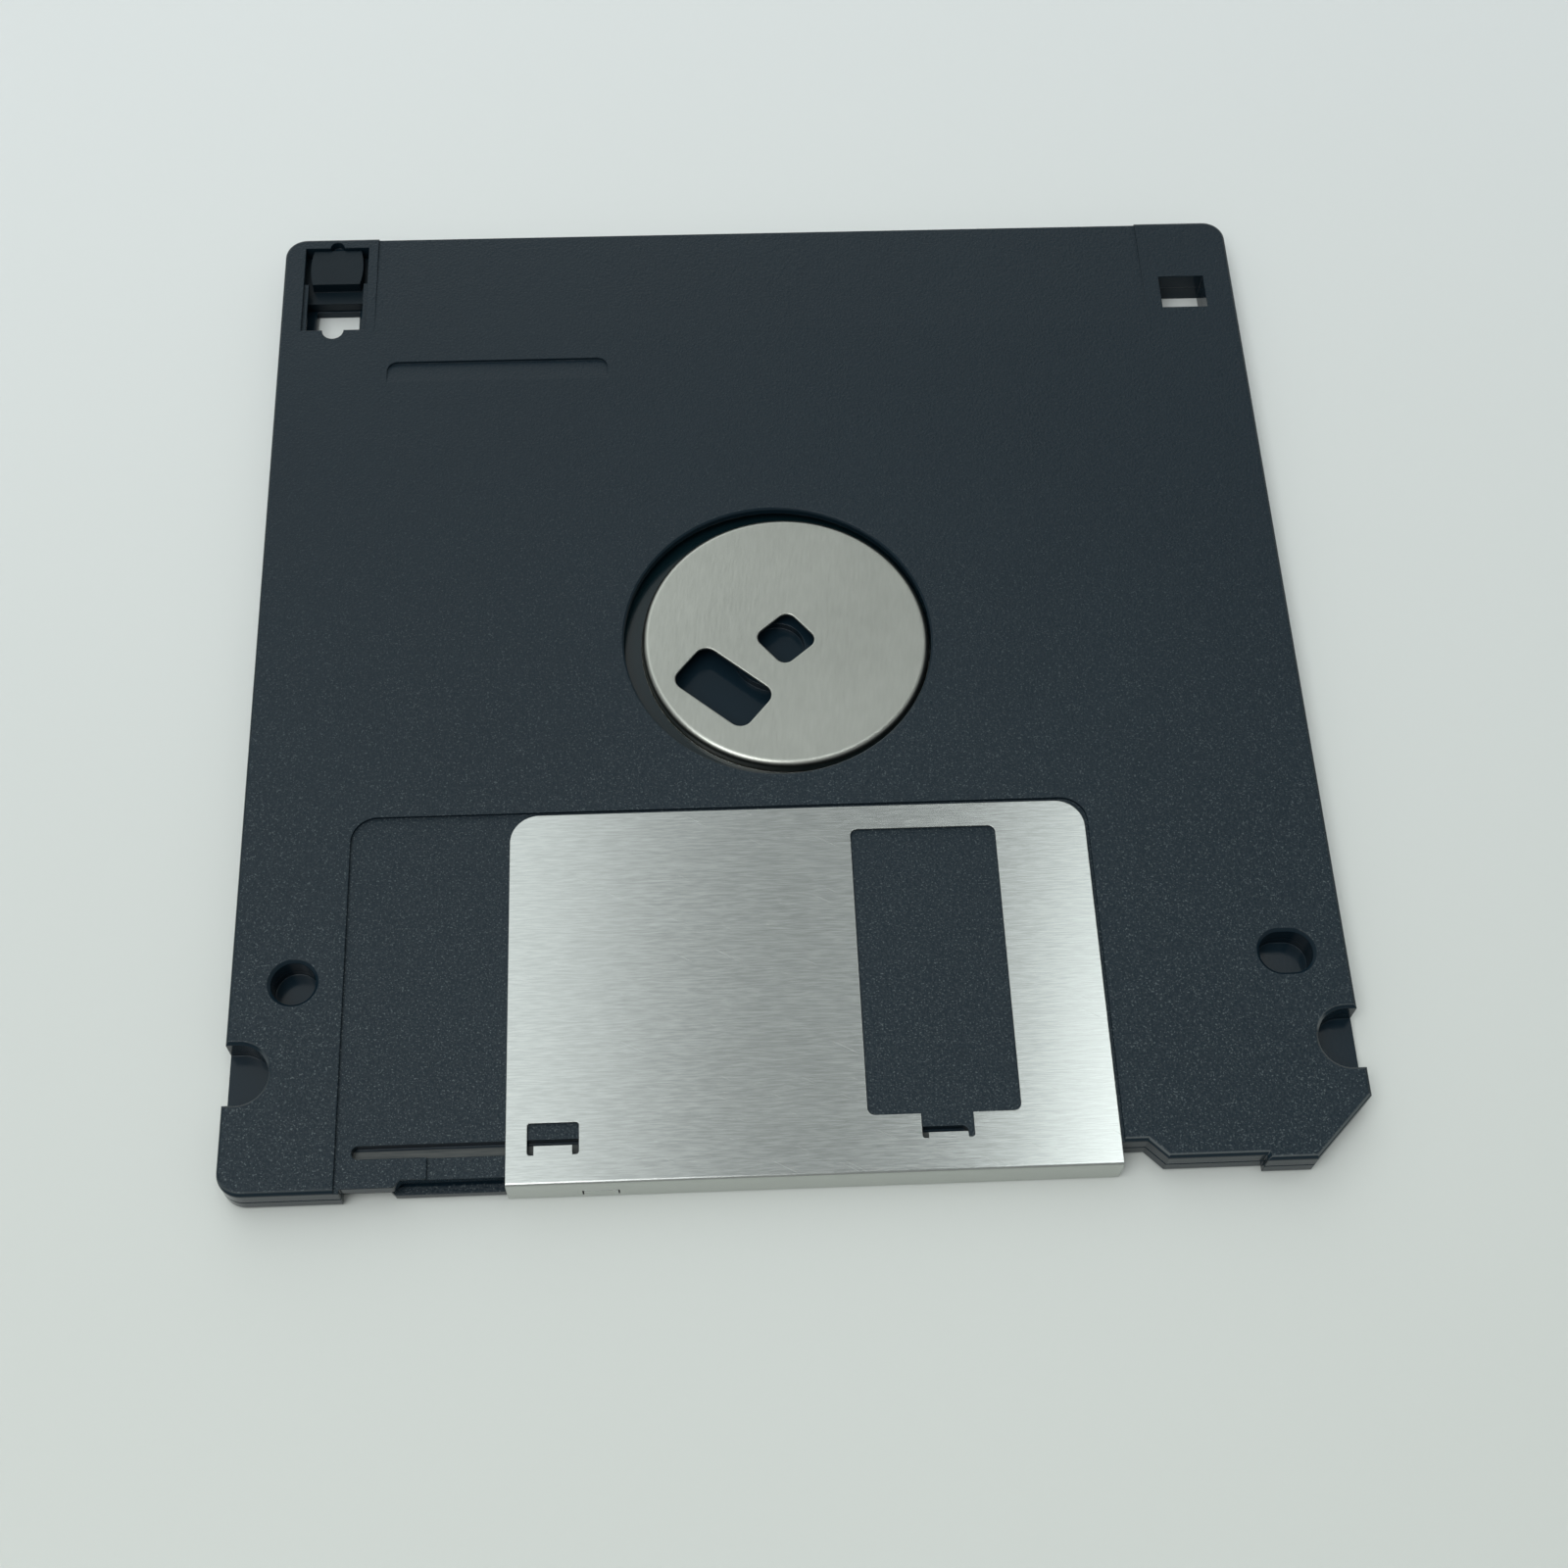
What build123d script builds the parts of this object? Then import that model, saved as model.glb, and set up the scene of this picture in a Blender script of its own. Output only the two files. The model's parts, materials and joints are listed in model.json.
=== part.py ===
"""3.5 inch floppy disk: a two-part moulded case with a sprung metal shutter, a sliding
write-protect tab and a flexible disk on a steel hub.

Millimetres. +Z is the hub side, which faces up; -Y is the front edge, which carries the
shutter; the origin is the centre of the label side, on which the cartridge lies.
"""

from math import acos, atan2, degrees, hypot
import os

from build123d import *

# Case
case_width = 90.0
case_length = 94.0
case_thickness = 3.3
label_half_height = 1.6  # the halves meet at this height
plate_thickness = 0.8
outer_wall = 1.1
side_wall = 1.0  # least wall beside the disk cavity
rear_wall = 1.6  # least wall behind the disk cavity
front_wall = 4.4  # least depth of the case ahead of the disk cavity
rim_wall = 1.0  # wall between the disk cavity and the corner pockets
corner_radius = 2.0
edge_radius = 0.4
parting_chamfer = 0.1
key_chamfer = 5.0  # the cut corner that stops the disk going in the wrong way round

# Disk, hub and liners
film_play = 1.0  # radial room round the film
film_thickness = 0.08
film_gap = 0.4  # from the label-side liner to the film
film_hub_gap = 0.1  # radial room between the hub's cup and the film
disk_offset = (0.72, 0.12)  # where the loose disk has come to rest in the case
liner_thickness = 0.3
liner_hub_gap = 0.5  # from the hub's flange to the liner
liner_margin = 0.5  # from the liner's rim to the cavity wall
adhesive_thickness = 0.05
adhesive_margin = 0.1
hub_radius = 12.5
hub_sink = 0.5  # from the case's face to the hub's
hub_sheet = 0.3
hub_flange_width = 3.0
hub_rim = 0.35
hub_hole_gap = 0.85  # radial room round the hub
hub_hole_chamfer = 0.15
hub_turn = 40.0  # degrees; direction of the spindle hole's sides
spindle_hole = 4.0
spindle_hole_corner = 0.8
drive_slot_length = 7.9
drive_slot_width = 4.7
drive_slot_corner = 1.0
drive_slot_wall = 2.85  # from the slot to the hub's edge
drive_slot_tilt = 10.0
centre_ring_radius = 4.1  # ring on the floor under the hub, seen through the hub's holes
centre_ring_wall = 1.7
centre_ring_height = 0.7

# Locating holes
location_inset = 5.0  # from the case's sides
location_from_front = 17.4
location_radius = 1.8
location_slot_length = 4.4
location_lead_in = 0.25

# Head windows
head_window_width = 9.0
head_window_inset = 5.1  # from the front edge
head_window_hub_gap = 6.15  # from the hub hole
head_window_corner = 0.5
liner_window_margin = 1.5

# Shutter recess, the same on both sides
recess_depth = 0.3
recess_inset = 9.0  # from the case's left side
recess_end_gap = 1.1  # left of the open shutter
recess_window_gap = 3.05  # behind the head window
recess_corner = 2.2

# Front edge behind the shutter
hub_bay_setback = 0.95
label_bay_setback = 0.3
plate_nose_setback = 0.35
plate_nose_length = 4.1
label_nose_setback = 0.8
front_left_step = 0.4  # the left front corner ends this far inside the recess
front_right_length = 3.95  # of the right front corner, up to the cut corner
front_right_setback = 0.45
lever_notch_depth = 1.9
lever_notch_width = 2.9
lever_notch_lap = 1.1  # under the recess's right end
ledge_inset = 7.04  # from the recess's left end
ledge_depth = 0.25
channel_below = 0.45  # depth of the spring channel in the label-side half
channel_above = 0.35  # and in the hub-side half
channel_end_gap = 0.8  # right of the shutter's hook
channel_lap = 1.0  # how far the channel runs into the spring's pocket
pocket_gap = 0.36  # from the guide groove to the spring's pocket

# Guide groove for the shutter's bent tongues
groove_left_gap = 2.0  # left of the left-hand tongue when the shutter is open
groove_right_gap = 0.05  # right of the right-hand tongue when it is shut
groove_front = 2.66  # from the front edge
groove_width = 1.08
hub_groove_web = 0.6  # from the parting plane to the groove's floor
label_groove_web = 0.7

# Shutter
shutter_sheet = 0.2
shutter_gap = 0.3  # from the recess's right end and from its rear end
shutter_corner = 2.4
shutter_bend = 0.3
shutter_travel = 12.0
shutter_right_web = 7.55  # from the shutter's window to its right edge
# The open shutter's window reaches past the head window on every side by these margins.
window_margin_left = 2.3
window_margin_right = 0.75
window_margin_front = 0.4
window_margin_back = 0.65
shutter_window_corner = 0.6
tongue_gap = 0.29  # from the groove's front wall to a tongue
tongue_tip_gap = 0.15
right_cut_width = 4.1
right_cut_right = 11.35  # from the shutter's right edge
right_cut_lead = 0.45  # from the cut-out's front edge to the tongue's rear face
left_cut_width = 4.0
left_cut_left = 1.65  # from the shutter's left edge
left_cut_lead = 0.75
left_cut_room = 1.85  # behind the tongue
tongue_slit = 0.5
cut_corner = 0.25
hook_left = 5.8  # from the shutter's left edge
hook_width = 2.9
hook_bottom = 0.6
hook_drop = 0.12  # from the parting plane to the hook's top
hook_reach = 0.9
hook_slit = 0.12

# Shutter spring
spring_wire = 0.28
spring_radius = 2.5
spring_pitch = 0.3
spring_inset = 7.6  # from the front edge to the coil's centre
spring_foot = 0.9  # bent end of each arm
spring_foot_inset = 0.55  # from the front edge to the arms' tips
spring_foot_bend = 0.5
spring_drop = 0.24  # from the parting plane to the hooked arm
spring_seat_gap = 0.05

# Write-protect window and tab
window_width = 5.95
window_inset = 4.92  # from the case's left side to the window's centre
window_rear_inset = 1.18
window_length = 9.85
window_wide_length = 4.1
window_ledge = 0.4  # width of the ledge on each side of the narrow part
window_ledge_depth = 0.35
window_nick = 1.0
window_rear_nick = 0.65
tab_width = 4.95
tab_end_width = 4.45
tab_length = 4.05
tab_gap = 0.1
tab_sink = 0.3  # from the hub side's face to the tab
tab_base_width = 6.3
tab_base_height = 1.0
tab_base_front = 1.45  # how far the base reaches ahead of the tab's finger pad
tab_travel = 4.1
tab_fit = 0.1
sense_hole = (4.0, 3.9)

# Density hole
density_hole = (4.3, 3.7)
density_inset = (4.9, 8.55)  # from the right side and from the rear edge
density_wall = 1.0

# Side notches
notch_radius = 2.5
notch_depth = 3.5
notch_from_front = 9.85
notch_lead_in = 0.25

# Corner pockets and weld posts
front_pocket_length = 12.7
rear_pocket_length = 17.0
post_width = 2.8
pin_width = 1.4
pin_height = 0.6
pin_fit = 0.05
left_post_inset = (6.2, 4.4)  # from the left side and from the front edge
right_post_inset = (11.5, 6.5)  # from the right side and from the front edge
rear_post_inset = (12.0, 5.2)  # from each side and from the rear edge

# Label panel and finger ramp
label_depth = 0.2
label_left_inset = 8.8
label_right_inset = 8.6
label_length = 55.0  # from the rear edge, on the label side
label_wrap = 12.0  # from the rear edge, on the hub side
label_corner = 1.5
ramp_inset = 10.15  # from the left side
ramp_width = 20.3
ramp_back = 14.9  # from the rear edge
ramp_length = 2.3
ramp_depth = 0.28
ramp_corner = 1.0
arrow_inset = (4.4, 20.5)  # from the left side and from the front edge
arrow_length = 5.0
arrow_width = 4.0
arrow_depth = 0.2

# Lifter behind the hub-side liner
lifter_rim_gap = 7.0  # from the rim of the disk cavity
lifter_hub_gap = 1.0  # from the liner's inner edge
lifter_offset = 2.9  # ahead of the disk's axis
lifter_width = 8.0
lifter_sheet = 0.15
lifter_pocket = 0.3
lifter_fit = 0.3
lifter_root = 5.0  # flat end that is welded to the shell

# Planes and places worked out from the sizes
half_width = case_width / 2
rear_y = case_length / 2
front_y = -rear_y
parting_z = label_half_height
hub_half_height = case_thickness - label_half_height
floor_z = plate_thickness
roof_z = case_thickness - plate_thickness
hub_recess_z = case_thickness - recess_depth
through = 2 * case_thickness  # a cut longer than the case is thick

cavity_radius = min(half_width - side_wall, (case_length - front_wall - rear_wall) / 2)
film_radius = cavity_radius - film_play
flange_radius = hub_radius + hub_flange_width
liner_inner_radius = flange_radius + liner_hub_gap
hub_hole_radius = hub_radius + hub_hole_gap
hub_hole_y = rear_y - rear_wall - cavity_radius
drive_slot_radius = hub_radius - drive_slot_wall - drive_slot_width / 2
disk_x = disk_offset[0]
disk_y = hub_hole_y + disk_offset[1]
film_z = floor_z + liner_thickness + film_gap
adhesive_z = film_z - adhesive_thickness
flange_z = adhesive_z - hub_sheet
film_inner_radius = hub_radius + film_hub_gap
hub_z = case_thickness - hub_sink
location_x = half_width - location_inset
location_y = front_y + location_from_front
notch_y = front_y + notch_from_front
head_window_front = front_y + head_window_inset
head_window_back = hub_hole_y - hub_hole_radius - head_window_hub_gap
head_window_length = head_window_back - head_window_front

recess_left = recess_inset - half_width
recess_back = head_window_back + recess_window_gap
shutter_window_left = shutter_travel - head_window_width / 2 - window_margin_left
shutter_window_right = shutter_travel + head_window_width / 2 + window_margin_right
shutter_window_front = head_window_front - window_margin_front
shutter_window_back = head_window_back + window_margin_back
shutter_left = recess_left + recess_end_gap + shutter_travel
shutter_right = shutter_window_right + shutter_right_web
shutter_back = recess_back - shutter_gap
recess_right = shutter_right + shutter_gap
hook_x = shutter_left + hook_left
hook_z = parting_z - hook_drop

groove_y = front_y + groove_front + groove_width / 2
groove_left = shutter_left + left_cut_left + tongue_slit - shutter_travel - groove_left_gap
groove_right = shutter_right - right_cut_right - tongue_slit + groove_right_gap
hub_groove_z = parting_z + hub_groove_web
label_groove_z = parting_z - label_groove_web
tongue_y = front_y + groove_front + tongue_gap + shutter_sheet
channel_right = hook_x + hook_width + channel_end_gap
channel_bottom = parting_z - channel_below
channel_top = parting_z + channel_above
pocket_front = groove_front + groove_width + pocket_gap
front_left_block = recess_left + front_left_step
front_right_block = half_width - key_chamfer - front_right_length
plate_nose_right = front_left_block + plate_nose_length
lever_notch_left = recess_right - lever_notch_lap
lever_notch_right = lever_notch_left + lever_notch_width
ledge_left = recess_left + ledge_inset

window_centre = window_inset - half_width
window_back = rear_y - window_rear_inset
window_front = window_back - window_length
window_narrow = window_width - 2 * window_ledge
window_wide_front = window_back - window_wide_length
tab_back = window_back - tab_gap
tab_front = tab_back - tab_length
sense_y = tab_front - tab_base_front - tab_fit - sense_hole[1] / 2
channel_front = tab_front - tab_base_front - tab_travel - tab_fit
density_centre = (half_width - density_inset[0], rear_y - density_inset[1])
label_left = label_left_inset - half_width
label_right = half_width - label_right_inset
lifter_left = lifter_rim_gap - cavity_radius
lifter_right = -liner_inner_radius - lifter_hub_gap
lifter_y = hub_hole_y - lifter_offset

# Shared plans
with BuildSketch() as disk_cavity:
    with Locations((0, hub_hole_y)):
        Circle(cavity_radius)

with BuildSketch() as head_window:
    with Locations((0, (head_window_front + head_window_back) / 2)):
        RectangleRounded(head_window_width, head_window_length, head_window_corner)

with BuildSketch() as shutter_recess:
    with BuildLine():
        FilletPolyline(
            (recess_left, front_y - outer_wall),
            (recess_left, recess_back),
            (recess_right, recess_back),
            (recess_right, front_y - outer_wall),
            radius=recess_corner,
        )
        Line((recess_right, front_y - outer_wall), (recess_left, front_y - outer_wall))
    make_face()

with BuildSketch() as guide_groove:
    with Locations(((groove_left + groove_right) / 2, groove_y)):
        RectangleRounded(groove_right - groove_left, groove_width, 0.45 * groove_width)

notch_x = half_width - notch_depth + notch_radius
notch_points = [(-notch_x, notch_y), (notch_x, notch_y)]
with BuildSketch() as side_notches:
    with Locations(*notch_points):
        Circle(notch_radius)
    with Locations((-half_width, notch_y), (half_width, notch_y)):
        Rectangle(2 * (notch_depth - notch_radius), 2 * notch_radius)

with BuildSketch() as location_holes:
    with Locations((-location_x, location_y)):
        Circle(location_radius)
    with Locations((location_x, location_y)):
        SlotOverall(location_slot_length, 2 * location_radius)

with BuildSketch() as density_window:
    with Locations(density_centre):
        Rectangle(*density_hole)

with BuildSketch() as tab_channel:
    with Locations((window_centre, (channel_front + tab_back + tab_fit) / 2)):
        Rectangle(tab_base_width + 2 * tab_fit, tab_back + tab_fit - channel_front)

post_points = [
    (left_post_inset[0] - half_width, front_y + left_post_inset[1]),
    (half_width - right_post_inset[0], front_y + right_post_inset[1]),
    (rear_post_inset[0] - half_width, rear_y - rear_post_inset[1]),
    (half_width - rear_post_inset[0], rear_y - rear_post_inset[1]),
]

# The hollow corners: inside the outer wall, outside the rim of the disk cavity, and
# clear of the locating holes, the windows and the weld posts.
with BuildSketch() as corner_pockets:
    with BuildLine():
        inner_x = half_width - outer_wall
        inner_front = front_y + outer_wall
        key_inset = key_chamfer + outer_wall * (2**0.5 - 2)
        Polyline(
            (-inner_x, inner_front),
            (half_width - outer_wall - key_inset, inner_front),
            (inner_x, front_y + outer_wall + key_inset),
            (inner_x, rear_y - outer_wall),
            (-inner_x, rear_y - outer_wall),
            close=True,
        )
    make_face()
    with Locations((0, hub_hole_y)):
        Circle(cavity_radius + rim_wall, mode=Mode.SUBTRACT)
    middle_front = front_y + front_pocket_length
    middle_back = rear_y - rear_pocket_length
    with Locations((0, (middle_front + middle_back) / 2)):
        Rectangle(case_width, middle_back - middle_front, mode=Mode.SUBTRACT)
    Rectangle(2 * abs(channel_right), case_length, mode=Mode.SUBTRACT)
    ramp_right = lever_notch_right + lever_notch_depth + outer_wall
    with Locations((front_left_block, front_y)):
        Rectangle(
            ramp_right - front_left_block, pocket_front,
            align=(Align.MIN, Align.MIN), mode=Mode.SUBTRACT,
        )
    with Locations((0, front_y)):
        Rectangle(
            front_right_block + outer_wall, front_right_setback + outer_wall,
            align=(Align.MIN, Align.MIN), mode=Mode.SUBTRACT,
        )
    with Locations(*notch_points):
        Circle(notch_radius + outer_wall, mode=Mode.SUBTRACT)
    with Locations((window_centre, rear_y)):
        Rectangle(
            tab_base_width + 2 * (tab_fit + outer_wall),
            2 * (rear_y - channel_front + outer_wall),
            mode=Mode.SUBTRACT,
        )
    with Locations((window_centre, window_front)):
        Circle(window_nick + outer_wall, mode=Mode.SUBTRACT)
    with Locations(density_centre):
        Rectangle(
            density_hole[0] + 2 * density_wall,
            density_hole[1] + 2 * density_wall,
            mode=Mode.SUBTRACT,
        )
    with Locations(*post_points):
        Rectangle(post_width, post_width, mode=Mode.SUBTRACT)


def half_plan(bay_line):
    """Plan of one half of the case. bay_line is its front edge behind the shutter, right to left."""
    notch_front = front_y + lever_notch_depth
    mid_front = front_y + front_right_setback
    with BuildSketch() as plan:
        with BuildLine():
            Polyline(
                (-half_width, rear_y),
                (half_width, rear_y),
                (half_width, front_y + key_chamfer),
                (half_width - key_chamfer, front_y),
                (front_right_block, front_y),
                (front_right_block, mid_front),
                (lever_notch_right + lever_notch_depth - front_right_setback, mid_front),
                (lever_notch_right, notch_front),
                (lever_notch_left, notch_front),
                *bay_line,
                (front_left_block, front_y),
                (-half_width, front_y),
                close=True,
            )
        make_face()
        rear_corners = plan.vertices().group_by(Axis.Y)[-1]
        front_corner = plan.vertices().sort_by_distance((-half_width, front_y))[0]
        fillet([*rear_corners, front_corner], corner_radius)
    return plan.sketch


def bay_start(setback):
    """Where the 45 degree side of the lever notch meets a front edge that is set back."""
    return (lever_notch_left - (lever_notch_depth - setback), front_y + setback)


hub_bay = [
    bay_start(hub_bay_setback),
    (plate_nose_right + hub_bay_setback - plate_nose_setback, front_y + hub_bay_setback),
    (plate_nose_right, front_y + plate_nose_setback),
    (front_left_block, front_y + plate_nose_setback),
]
label_bay = [
    bay_start(label_bay_setback),
    (plate_nose_right, front_y + label_bay_setback),
    (plate_nose_right - (label_nose_setback - label_bay_setback), front_y + label_nose_setback),
    (front_left_block, front_y + label_nose_setback),
]

# Finger ramp, cut in the hub side: a shallow wedge, steep at the rear, with rounded corners
with BuildPart() as finger_ramp:
    ramp_y = rear_y - ramp_back
    with BuildSketch(Plane.YZ.offset(ramp_inset - half_width)):
        with BuildLine():
            Polyline(
                (ramp_y - ramp_length, case_thickness),
                (ramp_y, case_thickness - ramp_depth),
                (ramp_y, case_thickness),
                close=True,
            )
        make_face()
    extrude(amount=ramp_width)
    steep_corners = finger_ramp.edges().filter_by(Axis.Z)
    fillet(steep_corners, ramp_corner)

# Hub-side half of the case
with BuildPart() as hub_side_shell:
    with BuildSketch(Plane.XY.offset(parting_z)):
        add(half_plan(hub_bay))
    extrude(amount=hub_half_height)
    fillet(hub_side_shell.faces().sort_by(Axis.Z)[-1].edges(), edge_radius)
    chamfer(hub_side_shell.faces().sort_by(Axis.Z)[0].edges(), parting_chamfer)
    # Shutter recess and the lowered ledge along its front
    with BuildSketch(Plane.XY.offset(hub_recess_z)):
        add(shutter_recess.sketch)
    extrude(amount=through, mode=Mode.SUBTRACT)
    with BuildSketch(Plane.XY.offset(hub_recess_z - ledge_depth)):
        with Locations((ledge_left, front_y)):
            Rectangle(
                lever_notch_left - ledge_left, groove_front, align=(Align.MIN, Align.MIN)
            )
    extrude(amount=through, mode=Mode.SUBTRACT)
    with BuildSketch(Plane.XY.offset(hub_groove_z)):
        add(guide_groove.sketch)
    extrude(amount=through, mode=Mode.SUBTRACT)
    # Disk cavity, corner pockets and spring channel, open at the parting plane
    with BuildSketch(Plane.XY.offset(parting_z)):
        add(disk_cavity.sketch)
        add(corner_pockets.sketch)
        add(tab_channel.sketch)
    extrude(amount=roof_z - parting_z, mode=Mode.SUBTRACT)
    with BuildSketch(Plane.XY.offset(parting_z)):
        with Locations((front_left_block, front_y)):
            Rectangle(
                channel_right - front_left_block, pocket_front + channel_lap,
                align=(Align.MIN, Align.MIN),
            )
    extrude(amount=channel_top - parting_z, mode=Mode.SUBTRACT)
    # Hub hole with a chamfered mouth
    with BuildSketch(Plane.XY.offset(case_thickness)):
        with Locations((0, hub_hole_y)):
            Circle(hub_hole_radius)
    extrude(amount=-through, mode=Mode.SUBTRACT)
    hub_hole_mouth = (
        hub_side_shell.edges().filter_by(GeomType.CIRCLE).group_by(Axis.Z)[-1].sort_by(SortBy.RADIUS)[-1]
    )
    chamfer(hub_hole_mouth, hub_hole_chamfer)
    with BuildSketch(Plane.XY.offset(case_thickness)):
        add(head_window.sketch)
        add(density_window.sketch)
        add(location_holes.sketch)
        add(side_notches.sketch)
    extrude(amount=-through, mode=Mode.SUBTRACT)
    # Lead-ins of the locating holes and of the side notches
    for holes, lead_in in ((location_holes, location_lead_in), (side_notches, notch_lead_in)):
        with BuildSketch(Plane.XY.offset(case_thickness)):
            offset(holes.sketch, amount=lead_in)
        extrude(amount=-lead_in, taper=45, mode=Mode.SUBTRACT)
    # Write-protect window: a shallow frame, the opening and two nicks for a fingernail
    with BuildSketch(Plane.XY.offset(case_thickness)):
        with Locations((window_centre, window_front)):
            Rectangle(window_width, window_length, align=(Align.CENTER, Align.MIN))
    extrude(amount=-window_ledge_depth, mode=Mode.SUBTRACT)
    with BuildSketch(Plane.XY.offset(case_thickness)):
        with Locations((window_centre, window_front)):
            Rectangle(window_narrow, window_length, align=(Align.CENTER, Align.MIN))
        with Locations((window_centre, window_wide_front)):
            Rectangle(window_width, window_wide_length, align=(Align.CENTER, Align.MIN))
        with Locations((window_centre, window_back)):
            Circle(window_rear_nick)
    extrude(amount=-plate_thickness, mode=Mode.SUBTRACT)
    with BuildSketch(Plane.XY.offset(case_thickness)):
        with Locations((window_centre, window_front)):
            Circle(window_nick)
    extrude(amount=-hub_half_height, mode=Mode.SUBTRACT)
    # Label wrap: the rear edge is set in, and a wedge fades out on the hub side
    with BuildSketch(Plane.YZ.offset(label_left)):
        with BuildLine():
            Polyline(
                (rear_y - label_wrap, case_thickness),
                (rear_y - label_depth, case_thickness - label_depth),
                (rear_y - label_depth, 0),
                (rear_y + outer_wall, 0),
                (rear_y + outer_wall, case_thickness),
                close=True,
            )
        make_face()
    extrude(amount=label_right - label_left, mode=Mode.SUBTRACT)
    add(finger_ramp.part, mode=Mode.SUBTRACT)
    # Square weld sockets
    with BuildSketch(Plane.XY.offset(parting_z)):
        with Locations(*post_points):
            Rectangle(pin_width + 2 * pin_fit, pin_width + 2 * pin_fit)
    extrude(amount=pin_height + pin_fit, mode=Mode.SUBTRACT)
    # Pocket behind the lifter
    with BuildSketch(Plane.XY.offset(roof_z)):
        with Locations((lifter_left - lifter_fit, lifter_y)):
            Rectangle(
                lifter_right - lifter_left + 2 * lifter_fit, lifter_width + 2 * lifter_fit,
                align=(Align.MIN, Align.CENTER),
            )
    extrude(amount=lifter_pocket, mode=Mode.SUBTRACT)

# Label-side half of the case
with BuildPart() as label_side_shell:
    with BuildSketch():
        add(half_plan(label_bay))
    extrude(amount=label_half_height)
    fillet(label_side_shell.faces().sort_by(Axis.Z)[0].edges(), edge_radius)
    chamfer(label_side_shell.faces().sort_by(Axis.Z)[-1].edges(), parting_chamfer)
    with BuildSketch():
        add(shutter_recess.sketch)
    extrude(amount=recess_depth, mode=Mode.SUBTRACT)
    with BuildSketch():
        add(guide_groove.sketch)
    extrude(amount=label_groove_z, mode=Mode.SUBTRACT)
    # Disk cavity, pockets, side notches and locating holes are blind: the plate is their floor
    with BuildSketch(Plane.XY.offset(floor_z)):
        add(disk_cavity.sketch)
        add(corner_pockets.sketch)
        add(tab_channel.sketch)
        add(side_notches.sketch)
        add(location_holes.sketch)
    extrude(amount=through, mode=Mode.SUBTRACT)
    with BuildSketch(Plane.XY.offset(channel_bottom)):
        with Locations((front_left_block, front_y)):
            Rectangle(
                channel_right - front_left_block, pocket_front + channel_lap,
                align=(Align.MIN, Align.MIN),
            )
    extrude(amount=through, mode=Mode.SUBTRACT)
    with BuildSketch():
        add(head_window.sketch)
        add(density_window.sketch)
        with Locations((window_centre, sense_y)):
            Rectangle(*sense_hole)
    extrude(amount=through, mode=Mode.SUBTRACT)
    # Ring in the middle of the floor
    with BuildSketch(Plane.XY.offset(floor_z)):
        with Locations((0, hub_hole_y)):
            Circle(centre_ring_radius)
            Circle(centre_ring_radius - centre_ring_wall, mode=Mode.SUBTRACT)
    extrude(amount=centre_ring_height)
    # Label panel, which turns up over the rear edge
    with BuildSketch() as label_panel:
        with Locations(((label_left + label_right) / 2, rear_y - label_length)):
            Rectangle(
                label_right - label_left, label_length + outer_wall, align=(Align.CENTER, Align.MIN)
            )
        fillet(label_panel.vertices().group_by(Axis.Y)[0], label_corner)
    extrude(amount=label_depth, mode=Mode.SUBTRACT)
    with BuildSketch():
        with Locations(((label_left + label_right) / 2, rear_y - label_depth)):
            Rectangle(
                label_right - label_left, label_depth + outer_wall, align=(Align.CENTER, Align.MIN)
            )
    extrude(amount=label_half_height, mode=Mode.SUBTRACT)
    # Insertion arrow, pointing at the front edge
    with BuildSketch():
        with Locations((arrow_inset[0] - half_width, front_y + arrow_inset[1])):
            Triangle(a=arrow_width, b=arrow_length, c=arrow_length, rotation=180)
    extrude(amount=arrow_depth, mode=Mode.SUBTRACT)
    # Square weld pins
    with BuildSketch(Plane.XY.offset(parting_z - pin_height)):
        with Locations(*post_points):
            Rectangle(pin_width, pin_width)
    extrude(amount=2 * pin_height)

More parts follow.
